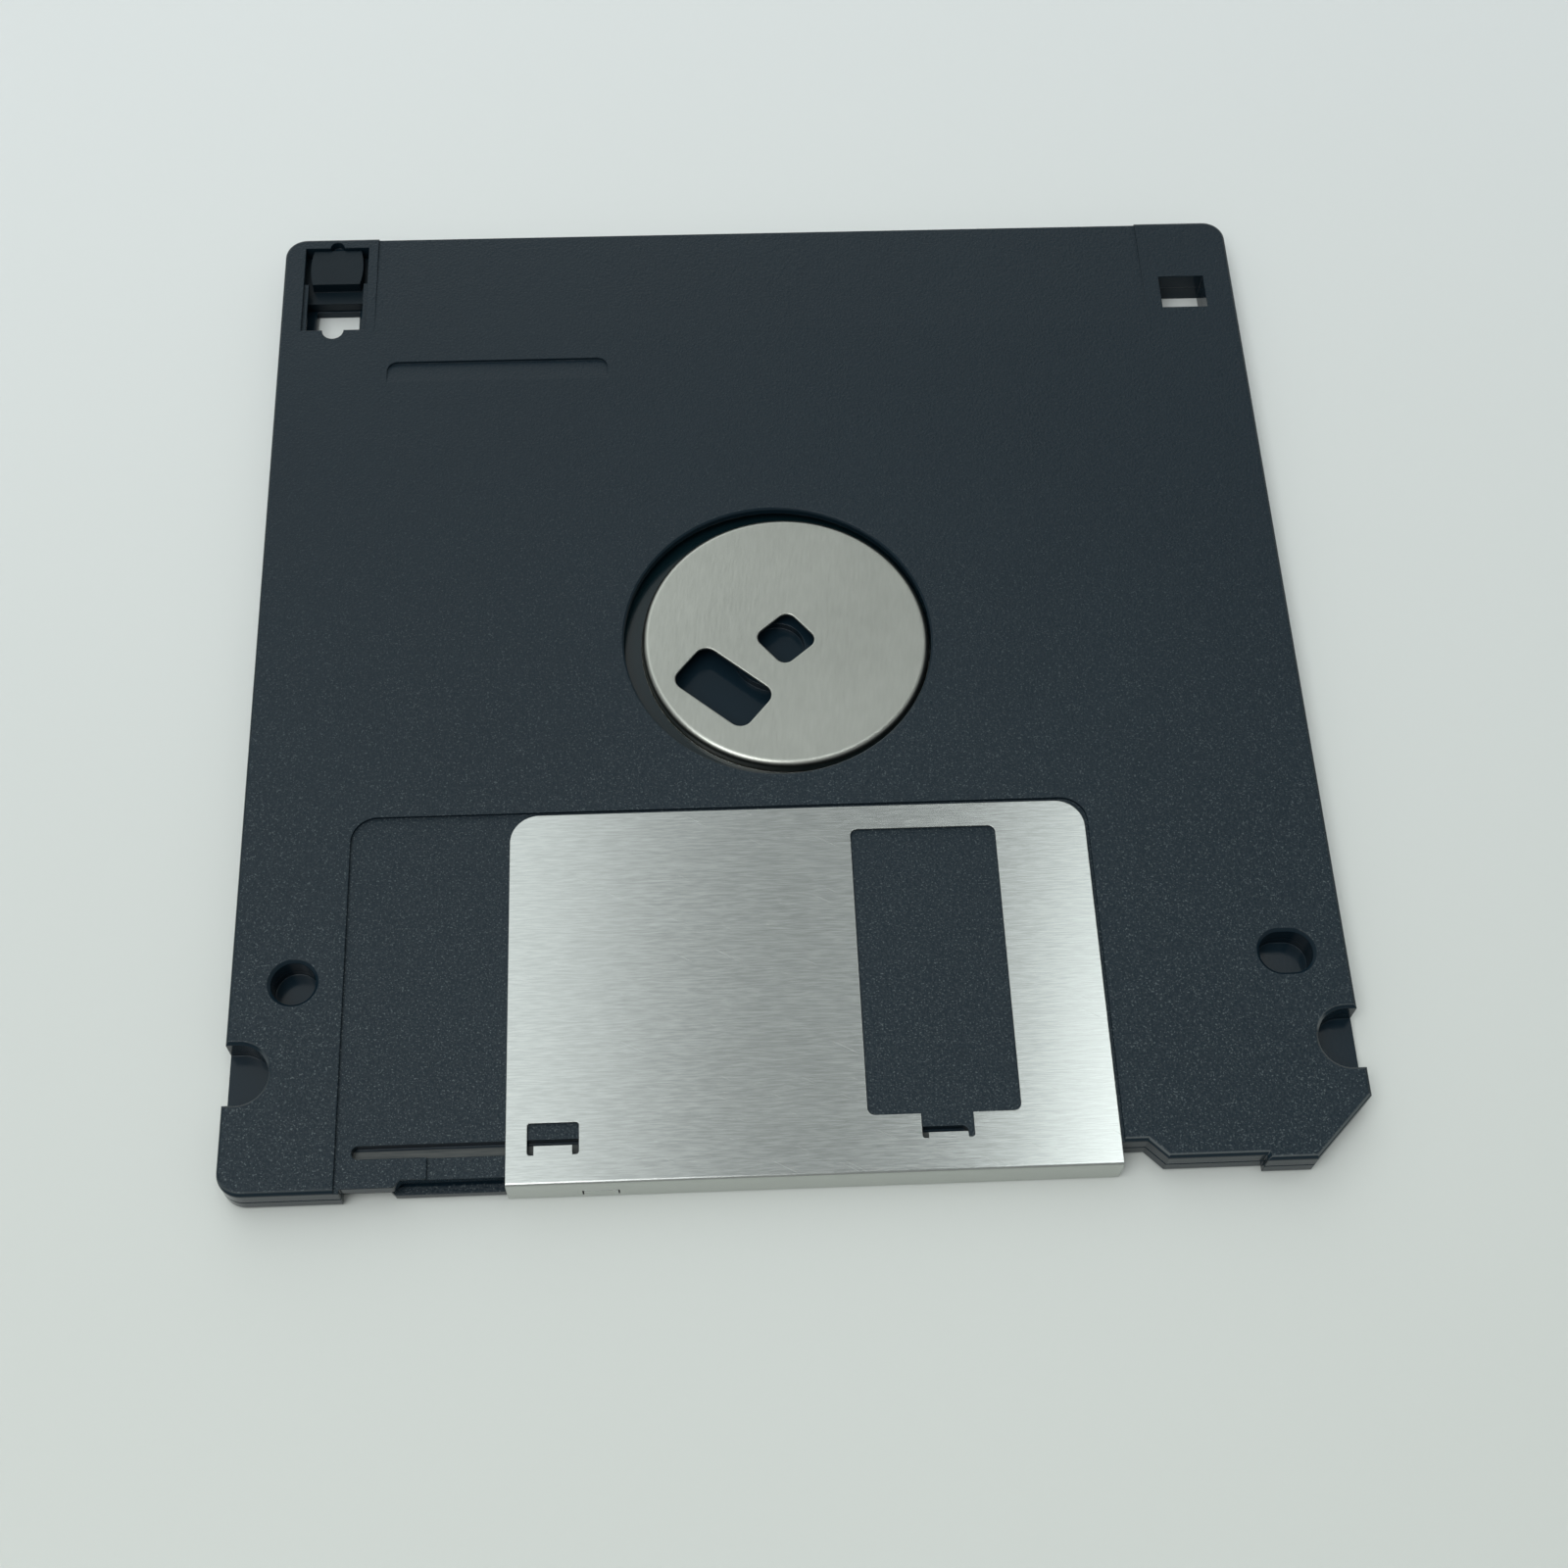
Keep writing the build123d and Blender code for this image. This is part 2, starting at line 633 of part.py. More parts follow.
# Shutter: one sheet folded to a U round the front edge
with BuildPart() as shutter:
    with BuildSketch(Plane.YZ.offset(shutter_left)):
        with BuildLine():
            Polyline(
                (shutter_back, 0),
                (front_y, 0),
                (front_y, case_thickness),
                (shutter_back, case_thickness),
                (shutter_back, case_thickness - shutter_sheet),
                (front_y + shutter_sheet, case_thickness - shutter_sheet),
                (front_y + shutter_sheet, shutter_sheet),
                (shutter_back, shutter_sheet),
                close=True,
            )
        make_face()
    extrude(amount=shutter_right - shutter_left)
    fold_edges = shutter.edges().filter_by(Axis.X).group_by(Axis.Y)[0]
    fillet(fold_edges, shutter_bend)
    leaf_corners = shutter.edges().filter_by(Axis.Z).group_by(Axis.Y)[-1]
    fillet(leaf_corners, shutter_corner)
    # Head window with the right-hand cut-out below it, and the left-hand cut-out
    window_middle = (
        (shutter_window_left + shutter_window_right) / 2,
        (shutter_window_front + shutter_window_back) / 2,
    )
    right_cut_x = shutter_right - right_cut_right - right_cut_width / 2
    left_cut_x = shutter_left + left_cut_left + left_cut_width / 2
    right_cut_front = tongue_y - right_cut_lead
    left_cut_front = tongue_y - left_cut_lead
    with BuildSketch():
        with Locations(window_middle):
            RectangleRounded(
                shutter_window_right - shutter_window_left,
                shutter_window_back - shutter_window_front,
                shutter_window_corner,
            )
        with Locations((right_cut_x, right_cut_front)):
            RectangleRounded(
                right_cut_width, window_middle[1] - right_cut_front, cut_corner,
                align=(Align.CENTER, Align.MIN),
            )
        with Locations((left_cut_x, left_cut_front)):
            RectangleRounded(
                left_cut_width, left_cut_lead + left_cut_room, cut_corner,
                align=(Align.CENTER, Align.MIN),
            )
    extrude(amount=case_thickness, mode=Mode.SUBTRACT)
    # Tongues: each stands in its cut-out and turns down into the guide groove
    for cut_x, cut_width, cut_front in (
        (right_cut_x, right_cut_width, right_cut_front),
        (left_cut_x, left_cut_width, left_cut_front),
    ):
        for outer_z, sheet_side, groove_z in (
            (case_thickness, -1, hub_groove_z),
            (0, 1, label_groove_z),
        ):
            with BuildSketch(Plane.YZ.offset(cut_x - cut_width / 2 + tongue_slit)):
                with BuildLine():
                    inner_z = outer_z + sheet_side * shutter_sheet
                    tip_z = groove_z - sheet_side * tongue_tip_gap
                    Polyline(
                        (cut_front - shutter_sheet, outer_z),
                        (tongue_y, outer_z),
                        (tongue_y, tip_z),
                        (tongue_y - shutter_sheet, tip_z),
                        (tongue_y - shutter_sheet, inner_z),
                        (cut_front - shutter_sheet, inner_z),
                        close=True,
                    )
                make_face()
            extrude(amount=cut_width - 2 * tongue_slit)
    # Spring hook: a flap cut in the fold, with its upper edge bent inwards
    with BuildSketch(Plane.XZ.offset(-front_y)):
        with Locations((hook_x, hook_bottom)):
            Rectangle(hook_width, hook_z + hook_slit - hook_bottom, align=(Align.MIN, Align.MIN))
        with Locations((hook_x + hook_slit, hook_bottom)):
            Rectangle(
                hook_width - 2 * hook_slit, hook_z - hook_bottom,
                align=(Align.MIN, Align.MIN), mode=Mode.SUBTRACT,
            )
    extrude(amount=-shutter_sheet, mode=Mode.SUBTRACT)
    with BuildSketch(Plane.XY.offset(hook_z - shutter_sheet)):
        with Locations((hook_x + hook_slit, front_y + shutter_sheet / 2)):
            Rectangle(
                hook_width - 2 * hook_slit, hook_reach + shutter_sheet / 2,
                align=(Align.MIN, Align.MIN),
            )
    extrude(amount=shutter_sheet)

# Shutter spring: a coil of just over one turn, one arm to the shutter's hook and one to the case.
# Its wire has six flat sides, which keeps a mesh of it small.
foot_y = front_y + spring_foot_inset + spring_foot
case_foot_x = front_left_block + spring_wire / 2 + spring_seat_gap
hook_foot_x = hook_x + hook_slit - spring_wire / 2 - spring_seat_gap
coil_x = (case_foot_x + hook_foot_x) / 2
coil_y = front_y + spring_inset
spring_z = parting_z - spring_drop


def leaving_angle(foot_x, side):
    """Angle on the coil, in degrees, at which the arm that ends at foot_x leaves it."""
    reach = hypot(foot_x - coil_x, foot_y - coil_y)
    towards = atan2(foot_y - coil_y, foot_x - coil_x)
    return degrees(towards + side * acos(spring_radius / reach))


hook_angle = leaving_angle(hook_foot_x, 1)
coil_turns = 1 + ((leaving_angle(case_foot_x, -1) - hook_angle) % 360) / 360
coil_rise = coil_turns * spring_pitch

with BuildPart() as shutter_spring:
    with BuildLine() as wire_path:
        coil = Helix(spring_pitch, coil_rise, spring_radius, mode=Mode.PRIVATE)
        coil = coil.moved(Location((coil_x, coil_y, spring_z), (0, 0, hook_angle)))
        add(coil)
        FilletPolyline(
            (hook_foot_x, foot_y - spring_foot, spring_z),
            (hook_foot_x, foot_y, spring_z),
            coil @ 0,
            radius=spring_foot_bend,
        )
        FilletPolyline(
            coil @ 1,
            (case_foot_x, foot_y, spring_z + coil_rise),
            (case_foot_x, foot_y - spring_foot, spring_z + coil_rise),
            radius=spring_foot_bend,
        )
    with BuildSketch(
        Plane((hook_foot_x, foot_y - spring_foot, spring_z), z_dir=(0, 1, 0))
    ):
        RegularPolygon(spring_wire / 2, 6, major_radius=False)
    sweep(path=wire_path.wires()[0])

# Write-protect tab: a barrel-shaped finger pad on a base that slides between the halves
with BuildPart() as write_protect_tab:
    tab_top = case_thickness - tab_sink
    with BuildSketch(Plane.XY.offset(floor_z + tab_fit)):
        with Locations((window_centre, tab_front - tab_base_front)):
            Rectangle(
                tab_base_width, tab_length + tab_base_front, align=(Align.CENTER, Align.MIN)
            )
    extrude(amount=tab_base_height)
    with BuildSketch(Plane.XY.offset(floor_z + tab_fit)):
        with BuildLine():
            right_side = ThreePointArc(
                (window_centre + tab_end_width / 2, tab_front),
                (window_centre + tab_width / 2, (tab_front + tab_back) / 2),
                (window_centre + tab_end_width / 2, tab_back),
            )
            left_side = mirror(right_side, about=Plane.YZ.offset(window_centre))
            Line(right_side @ 1, left_side @ 1)
            Line(right_side @ 0, left_side @ 0)
        make_face()
    extrude(amount=tab_top - floor_z - tab_fit)

# Hub: a stamped steel cup with a flange for the film
disk_plane = Plane((disk_x, disk_y, 0))
with BuildPart() as hub:
    with BuildSketch(Plane((disk_x, disk_y, 0), x_dir=(1, 0, 0), z_dir=(0, -1, 0))):
        with BuildLine():
            Polyline(
                (0, hub_z),
                (hub_radius - hub_rim, hub_z),
                (hub_radius, hub_z - hub_rim),
                (hub_radius, flange_z + hub_sheet),
                (flange_radius, flange_z + hub_sheet),
                (flange_radius, flange_z),
                (hub_radius - hub_sheet, flange_z),
                (hub_radius - hub_sheet, hub_z - hub_sheet),
                (0, hub_z - hub_sheet),
                close=True,
            )
        make_face()
    revolve(axis=Axis((disk_x, disk_y, 0), (0, 0, 1)))
    with BuildSketch(disk_plane.offset(hub_z)):
        with Locations(Location((0, 0), hub_turn)):
            RectangleRounded(spindle_hole, spindle_hole, spindle_hole_corner)
        with PolarLocations(drive_slot_radius, 1, start_angle=hub_turn + 180):
            RectangleRounded(
                drive_slot_width, drive_slot_length, drive_slot_corner, rotation=drive_slot_tilt
            )
    extrude(amount=-2 * hub_sheet, mode=Mode.SUBTRACT)

# Adhesive ring on the flange, and the film that it holds
with BuildPart() as hub_adhesive_ring:
    with BuildSketch(disk_plane.offset(adhesive_z)):
        Circle(flange_radius - adhesive_margin)
        Circle(film_inner_radius + adhesive_margin, mode=Mode.SUBTRACT)
    extrude(amount=adhesive_thickness)

with BuildPart() as magnetic_film:
    with BuildSketch(disk_plane.offset(film_z)):
        Circle(film_radius)
        Circle(film_inner_radius, mode=Mode.SUBTRACT)
    extrude(amount=film_thickness)

# Liners: rings with a gap for the heads, one on the inner face of each half
with BuildSketch() as liner_plan:
    with Locations((0, hub_hole_y)):
        Circle(cavity_radius - liner_margin)
        Circle(liner_inner_radius, mode=Mode.SUBTRACT)
    with Locations((0, front_y)):
        Rectangle(
            head_window_width + 2 * liner_window_margin,
            head_window_back + liner_window_margin - front_y,
            align=(Align.CENTER, Align.MIN), mode=Mode.SUBTRACT,
        )

with BuildPart() as label_side_liner:
    with BuildSketch(Plane.XY.offset(floor_z)):
        add(liner_plan.sketch)
    extrude(amount=liner_thickness)

with BuildPart() as hub_side_liner:
    with BuildSketch(Plane.XY.offset(roof_z)):
        add(liner_plan.sketch)
    extrude(amount=-liner_thickness)

# Lifter: a leaf with a flat root welded in its pocket; the rest slopes down to the liner
with BuildPart() as lifter:
    with BuildSketch(Plane.XZ.offset(-lifter_y)):
        with BuildLine():
            pocket_top = roof_z + lifter_pocket
            Polyline(
                (lifter_left, pocket_top),
                (lifter_left + lifter_root, pocket_top),
                (lifter_right, roof_z + lifter_sheet),
                (lifter_right, roof_z),
                (lifter_left + lifter_root, pocket_top - lifter_sheet),
                (lifter_left, pocket_top - lifter_sheet),
                close=True,
            )
        make_face()
    extrude(amount=lifter_width / 2, both=True)

pieces = {
    "hub_side_shell": hub_side_shell,
    "label_side_shell": label_side_shell,
    "shutter": shutter,
    "shutter_spring": shutter_spring,
    "write_protect_tab": write_protect_tab,
    "magnetic_film": magnetic_film,
    "hub": hub,
    "hub_adhesive_ring": hub_adhesive_ring,
    "hub_side_liner": hub_side_liner,
    "label_side_liner": label_side_liner,
    "lifter": lifter,
}

os.makedirs("parts", exist_ok=True)
for name, piece in pieces.items():
    piece.part.label = name
    export_step(piece.part, f"parts/{name}.step")
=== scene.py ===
"""A 3.5 inch floppy disk on a pale table, hub side up: finishes, finer pieces, light and camera.

Lengths are in metres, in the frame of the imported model: the origin is the middle of the underside,
+Z points out of the hub side, and -Y towards the shutter's front edge. Finer pieces replace two
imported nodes, the hub and the spring.
"""

import json
import math

import bpy
from mathutils import Matrix, Vector


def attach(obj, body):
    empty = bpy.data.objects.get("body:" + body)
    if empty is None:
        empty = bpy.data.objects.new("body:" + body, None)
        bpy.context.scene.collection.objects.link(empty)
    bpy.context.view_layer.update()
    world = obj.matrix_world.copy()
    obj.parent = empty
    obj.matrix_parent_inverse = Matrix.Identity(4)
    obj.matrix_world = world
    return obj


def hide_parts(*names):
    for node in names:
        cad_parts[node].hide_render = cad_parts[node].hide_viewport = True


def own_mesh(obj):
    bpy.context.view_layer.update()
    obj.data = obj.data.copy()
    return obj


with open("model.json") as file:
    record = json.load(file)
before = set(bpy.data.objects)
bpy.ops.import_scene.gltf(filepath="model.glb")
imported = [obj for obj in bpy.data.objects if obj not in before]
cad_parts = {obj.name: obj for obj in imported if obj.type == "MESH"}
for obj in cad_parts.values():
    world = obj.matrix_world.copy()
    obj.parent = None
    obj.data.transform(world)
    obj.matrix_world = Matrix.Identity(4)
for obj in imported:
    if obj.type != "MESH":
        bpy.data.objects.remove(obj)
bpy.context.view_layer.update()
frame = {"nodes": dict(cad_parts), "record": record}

MM = 0.001
CASE_TOP = 3.3 * MM


# shader node helpers

def add(tree, kind, inputs=None, **settings):
    """Adds a shader node, then sets or links its inputs by name or by number."""
    node = tree.nodes.new(kind)
    for name, value in settings.items():
        setattr(node, name, value)
    for key, value in (inputs or {}).items():
        if isinstance(value, bpy.types.NodeSocket):
            tree.links.new(value, node.inputs[key])
        else:
            node.inputs[key].default_value = value
    return node


def calc(tree, operation, *values):
    return add(tree, "ShaderNodeMath", dict(enumerate(values)), operation=operation).outputs[0]


def product(tree, value, *factors):
    for factor in factors:
        value = calc(tree, "MULTIPLY", value, factor)
    return value


def mingle(tree, one, share, other, rest):
    """A share of one value and the rest of another."""
    return calc(tree, "MULTIPLY_ADD", one, share, calc(tree, "MULTIPLY", other, rest))


def split(tree, vector):
    """The three components of a vector."""
    return tuple(add(tree, "ShaderNodeSeparateXYZ", {0: vector}).outputs)


def step(tree, value, low, high, start=0.0, end=1.0):
    """A smooth step of value from start at low to end at high."""
    limits = {"Value": value, "From Min": low, "From Max": high, "To Min": start, "To Max": end}
    return add(tree, "ShaderNodeMapRange", limits, interpolation_type="SMOOTHSTEP").outputs[0]


def noise(tree, vector, scale, detail, roughness):
    """Noise from 0 to 1, of scale cycles per metre and detail further octaves."""
    inputs = {"Vector": vector, "Scale": scale, "Detail": detail, "Roughness": roughness}
    return add(tree, "ShaderNodeTexNoise", inputs).outputs["Fac"]


def streaks(tree, vector, cycles, detail, roughness, turn=0.0):
    """Noise drawn out along an axis: cycles per metre on X, Y and Z, after a turn about Z."""
    turned = add(tree, "ShaderNodeMapping", {"Vector": vector, "Rotation": (0.0, 0.0, turn)})
    drawn = add(tree, "ShaderNodeMapping", {"Vector": turned.outputs[0], "Scale": cycles})
    return noise(tree, drawn.outputs[0], 1.0, detail, roughness)


def tint(tree, factor, under, over):
    """A colour from under at 0 to over at 1; each is a socket or three numbers."""
    a_colour, b_colour, colour_result = 6, 7, 2
    ends = [end if isinstance(end, bpy.types.NodeSocket) else (*end, 1.0) for end in (under, over)]
    inputs = {"Factor": factor, a_colour: ends[0], b_colour: ends[1]}
    return add(tree, "ShaderNodeMix", inputs, data_type="RGBA").outputs[colour_result]


def bump(tree, height, distance, strength, under=None):
    inputs = {"Height": height, "Distance": distance, "Strength": strength}
    if under is not None:
        inputs["Normal"] = under
    return add(tree, "ShaderNodeBump", inputs).outputs[0]


def soft_edges(tree, radius):
    """Normals that round the sharp edges, as moulding and stamping leave them."""
    return add(tree, "ShaderNodeBevel", {"Radius": radius}, samples=6).outputs[0]


def material(name):
    """A new material, its node tree, the coordinates of its surface and its shader."""
    new = bpy.data.materials.new(name)
    new.use_nodes = True
    tree = new.node_tree
    place = tree.nodes.new("ShaderNodeTexCoord")
    return new, tree, place, tree.nodes["Principled BSDF"]


def link(tree, shader, **sockets):
    for name, socket in sockets.items():
        tree.links.new(socket, shader.inputs[name.replace("_", " ")])


def fix(shader, **values):
    for name, value in values.items():
        shader.inputs[name.replace("_", " ")].default_value = value


# materials

# Where the case's finish and its painted light change: each pair is where a smooth step starts and
# ends.
FLAT_FACE = (0.86, 0.98)  # how far up or down a face's normal points
HUB_SIDE_Z = (2.62 * MM, 2.72 * MM)
LABEL_SIDE_Z = (0.33 * MM, 0.27 * MM)
LIP_Y = (-45.9 * MM, -46.1 * MM)
LIP_Z = (1.10 * MM, 1.12 * MM)
# where the painted glints fade in towards the front
PAINTED_GLINT_Y = (30.0 * MM, -38.0 * MM)
GROOVE_FLOOR_ABOVE = (2.15 * MM, 2.19 * MM)
GROOVE_FLOOR_BELOW = (2.25 * MM, 2.21 * MM)
# painted shade: the groove floor's strip along its rear wall is left dark
GROOVE_REAR_SHADE_Y = (-43.40 * MM, -43.55 * MM)
# where the painted highlight lies on the rounded front top edges
FRONT_HIGHLIGHT_NORMALS = ((-0.14, -0.30), (-0.58, -0.42))  # the Y of a rounded edge's normal
FRONT_HIGHLIGHT_Z = (2.95 * MM, 3.10 * MM)
FRONT_HIGHLIGHT_Y = (-30.0 * MM, -35.0 * MM)
FRONT_HIGHLIGHT_X = (-20.0 * MM, 30.0 * MM)


def make_case_plastic():
    """Dark blue-grey ABS: grained flat faces and smooth walls, with painted glints on the grain, a
    groove floor painted lighter (rub streaks and painted sheen) with painted shade along its rear
    wall, and a painted highlight on the front edges.
    """
    new, tree, place, shader = material("case_plastic")
    at = place.outputs["Object"]
    x, y, z = split(tree, at)
    upward = split(tree, place.outputs["Normal"])[2]
    level = step(tree, calc(tree, "ABSOLUTE", upward), *FLAT_FACE)
    outer = calc(tree, "ADD", step(tree, z, *HUB_SIDE_Z), step(tree, z, *LABEL_SIDE_Z))
    lip = product(tree, step(tree, y, *LIP_Y), step(tree, z, *LIP_Z))
    grained = product(tree, level, calc(tree, "MAXIMUM", outer, lip))

    grit = noise(tree, at, 4600.0, 3.0, 0.70)
    pits = add(tree, "ShaderNodeTexVoronoi", {"Vector": at, "Scale": 4400.0}, feature="SMOOTH_F1")
    relief = calc(tree, "MULTIPLY_ADD", pits.outputs["Distance"], 0.5, grit)
    relief = product(tree, relief, calc(tree, "ADD", grained, 0.05))
    rounded = soft_edges(tree, 0.14 * MM)
    normal = bump(tree, relief, 0.070 * MM, 1.0, rounded)
    normal = bump(tree, noise(tree, at, 1100.0, 3.0, 0.6), 0.006 * MM, 0.30, normal)

    cloud = noise(tree, at, 55.0, 3.0, 0.55)
    colour = tint(tree, cloud, (0.0060, 0.0150, 0.0235), (0.0080, 0.0188, 0.0280))

    # Painted glints: bright specks put into the base colour on the grain, stronger towards the
    # front.
    spark = noise(tree, at, 7400.0, 1.0, 0.5)
    tips = step(tree, grit, 0.42, 0.72)
    peaks = calc(tree, "MULTIPLY_ADD", tips, 0.22, step(tree, spark, 0.60, 0.74))
    painted_glint = product(tree, peaks, grained, step(tree, y, *PAINTED_GLINT_Y, 0.10, 0.80))
    colour = tint(tree, painted_glint, colour, (0.105, 0.132, 0.142))

    # The groove floor is painted lighter, partly rub streaks and partly painted sheen; a strip along
    # its rear wall stays dark as painted shade.
    floor = product(tree, step(tree, z, *GROOVE_FLOOR_ABOVE), step(tree, z, *GROOVE_FLOOR_BELOW),
                    step(tree, y, *GROOVE_REAR_SHADE_Y), level)
    rub = streaks(tree, at, (260.0, 5200.0, 5200.0), 3.0, 0.65)
    painted_sheen_and_rub = product(tree, floor, step(tree, rub, 0.25, 0.75, 0.45, 1.0))
    colour = tint(tree, painted_sheen_and_rub, colour, (0.092, 0.101, 0.099))

    # Painted highlight: a light line in the base colour on the rounded front top edges, where the
    # bevelled normal faces forward.
    forward = split(tree, rounded)[1]
    painted_edge_highlight = product(tree, *[step(tree, forward, *limits) for limits in FRONT_HIGHLIGHT_NORMALS],
                   step(tree, z, *FRONT_HIGHLIGHT_Z), step(tree, y, *FRONT_HIGHLIGHT_Y),
                   step(tree, x, *FRONT_HIGHLIGHT_X, 0.30, 0.65))
    colour = tint(tree, painted_edge_highlight, colour, (0.150, 0.170, 0.175))

    rough = calc(tree, "MULTIPLY_ADD", cloud, 0.06, 0.12)
    rough = calc(tree, "ADD", rough, calc(tree, "MULTIPLY", grained, 0.19))
    link(tree, shader, Base_Color=colour, Roughness=rough, Normal=normal)
    fix(shader, IOR=1.48, Specular_IOR_Level=0.22)
    return new


def make_shutter_steel():
    """Thin stainless sheet, brushed along X, with a few hairline scratches; the fold is painted a
    lighter plain colour as painted reflection.
    """
    new, tree, place, shader = material("shutter_steel")
    at = place.outputs["Object"]
    fine = streaks(tree, at, (760.0, 10500.0, 10500.0), 2.0, 0.6)
    coarse = streaks(tree, at, (240.0, 5200.0, 5200.0), 3.0, 0.6)
    crossing = streaks(tree, at, (260.0, 12000.0, 12000.0), 1.0, 0.5, turn=0.5)
    scratch = step(tree, crossing, 0.75, 0.82)
    brushed = mingle(tree, fine, 0.7, coarse, 0.3)
    normal = bump(tree, brushed, 0.0032 * MM, 1.0, soft_edges(tree, 0.08 * MM))
    colour = tint(tree, step(tree, brushed, 0.3, 0.7), (0.425, 0.450, 0.443), (0.515, 0.545, 0.537))
    # Painted reflection: faces turned to the front, the fold, get a lighter plain steel colour.
    forward = split(tree, place.outputs["Normal"])[1]
    colour = tint(tree, step(tree, forward, -0.3, -0.9), colour, (0.525, 0.545, 0.515))
    rough = calc(tree, "MULTIPLY_ADD", brushed, 0.12, 0.18)
    rough = calc(tree, "ADD", rough, calc(tree, "MULTIPLY", scratch, 0.12))
    across = add(tree, "ShaderNodeTangent", direction_type="RADIAL", axis="X").outputs[0]
    link(tree, shader, Base_Color=colour, Roughness=rough, Normal=normal, Tangent=across)
    fix(shader, Metallic=1.0, Anisotropic=0.8)
    return new


def make_hub_steel():
    """Stamped sheet with a satin grain that runs one way across the hub."""
    new, tree, place, shader = material("hub_steel")
    at = place.outputs["Object"]
    grain = streaks(tree, at, (4200.0, 700.0, 4200.0), 2.0, 0.6, turn=0.12)
    mottle = noise(tree, at, 900.0, 3.0, 0.6)
    cloud = noise(tree, at, 90.0, 2.0, 0.5)
    satin = mingle(tree, grain, 0.6, mottle, 0.4)
    normal = bump(tree, satin, 0.011 * MM, 1.0, soft_edges(tree, 0.16 * MM))
    colour = tint(tree, mingle(tree, grain, 0.5, cloud, 0.5),
                  (0.318, 0.333, 0.308), (0.440, 0.456, 0.424))
    rough = calc(tree, "MULTIPLY_ADD", satin, 0.14, 0.26)
    link(tree, shader, Base_Color=colour, Roughness=rough, Normal=normal)
    fix(shader, Metallic=1.0)
    return new


def make_spring_wire():
    """Drawn steel wire."""
    new, tree, place, shader = material("spring_wire")
    drawn = noise(tree, place.outputs["Object"], 2500.0, 2.0, 0.6)
    colour = tint(tree, drawn, (0.40, 0.40, 0.39), (0.55, 0.55, 0.53))
    rough = calc(tree, "MULTIPLY_ADD", drawn, 0.15, 0.20)
    normal = bump(tree, drawn, 0.003 * MM, 0.6)
    link(tree, shader, Base_Color=colour, Roughness=rough, Normal=normal)
    fix(shader, Metallic=1.0)
    return new


def make_tab_plastic():
    """Black moulded plastic, a little finer in grain than the case."""
    new, tree, place, shader = material("tab_plastic")
    at = place.outputs["Object"]
    grit = noise(tree, at, 5200.0, 2.0, 0.6)
    cloud = noise(tree, at, 300.0, 2.0, 0.5)
    colour = tint(tree, cloud, (0.0030, 0.0090, 0.0145), (0.0050, 0.0130, 0.0190))
    rough = calc(tree, "MULTIPLY_ADD", grit, 0.16, 0.34)
    normal = bump(tree, grit, 0.030 * MM, 0.8, soft_edges(tree, 0.12 * MM))
    link(tree, shader, Base_Color=colour, Roughness=rough, Normal=normal)
    fix(shader, Specular_IOR_Level=0.17)
    return new


def make_coated_film():
    """Magnetic coating: very dark and smooth, with a faint unevenness of the sheet."""
    new, tree, place, shader = material("coated_film")
    at = place.outputs["Object"]
    soft = noise(tree, at, 60.0, 2.0, 0.5)
    fine = noise(tree, at, 9000.0, 1.0, 0.5)
    colour = tint(tree, soft, (0.0025, 0.0110, 0.0150), (0.0045, 0.0160, 0.0210))
    rough = calc(tree, "MULTIPLY_ADD", fine, 0.06, 0.12)
    normal = bump(tree, soft, 0.04 * MM, 0.25)
    link(tree, shader, Base_Color=colour, Roughness=rough, Normal=normal)
    return new


def make_adhesive():
    """Yellowish double-sided film with a blotched surface."""
    new, tree, place, shader = material("adhesive")
    blotch = noise(tree, place.outputs["Object"], 1200.0, 3.0, 0.6)
    colour = tint(tree, blotch, (0.44, 0.41, 0.33), (0.56, 0.53, 0.45))
    rough = calc(tree, "MULTIPLY_ADD", blotch, 0.2, 0.45)
    normal = bump(tree, blotch, 0.02 * MM, 0.5)
    link(tree, shader, Base_Color=colour, Roughness=rough, Normal=normal)
    return new


def make_liner_fabric():
    """Non-woven wiping sheet: short fibres lying every way, pressed in a faint point pattern."""
    new, tree, place, shader = material("liner_fabric")
    at = place.outputs["Object"]
    strands = None
    for turn in (0.15, 1.2, 2.3):
        laid = streaks(tree, at, (450.0, 5200.0, 2000.0), 2.0, 0.6, turn)
        ridge = step(tree, laid, 0.45, 0.70)
        strands = ridge if strands is None else calc(tree, "MAXIMUM", strands, ridge)
    cloud = noise(tree, at, 260.0, 3.0, 0.6)
    dots = add(tree, "ShaderNodeTexVoronoi", {"Vector": at, "Scale": 900.0, "Randomness": 0.0})
    pressed = step(tree, dots.outputs["Distance"], 0.22, 0.36)
    height = calc(tree, "MULTIPLY", calc(tree, "ADD", strands, cloud), pressed)
    colour = tint(tree, mingle(tree, strands, 0.6, cloud, 0.4),
                  (0.62, 0.62, 0.60), (0.80, 0.80, 0.78))
    link(tree, shader, Base_Color=colour, Normal=bump(tree, height, 0.06 * MM, 0.7))
    fix(shader, Roughness=0.9, Sheen_Weight=0.3)
    return new


def make_lifter_plastic():
    """Pale, thin polyester leaf."""
    new, tree, place, shader = material("lifter_plastic")
    cloud = noise(tree, place.outputs["Object"], 400.0, 3.0, 0.6)
    colour = tint(tree, cloud, (0.50, 0.51, 0.48), (0.60, 0.61, 0.58))
    rough = calc(tree, "MULTIPLY_ADD", cloud, 0.2, 0.28)
    normal = bump(tree, cloud, 0.01 * MM, 0.4)
    link(tree, shader, Base_Color=colour, Roughness=rough, Normal=normal)
    return new


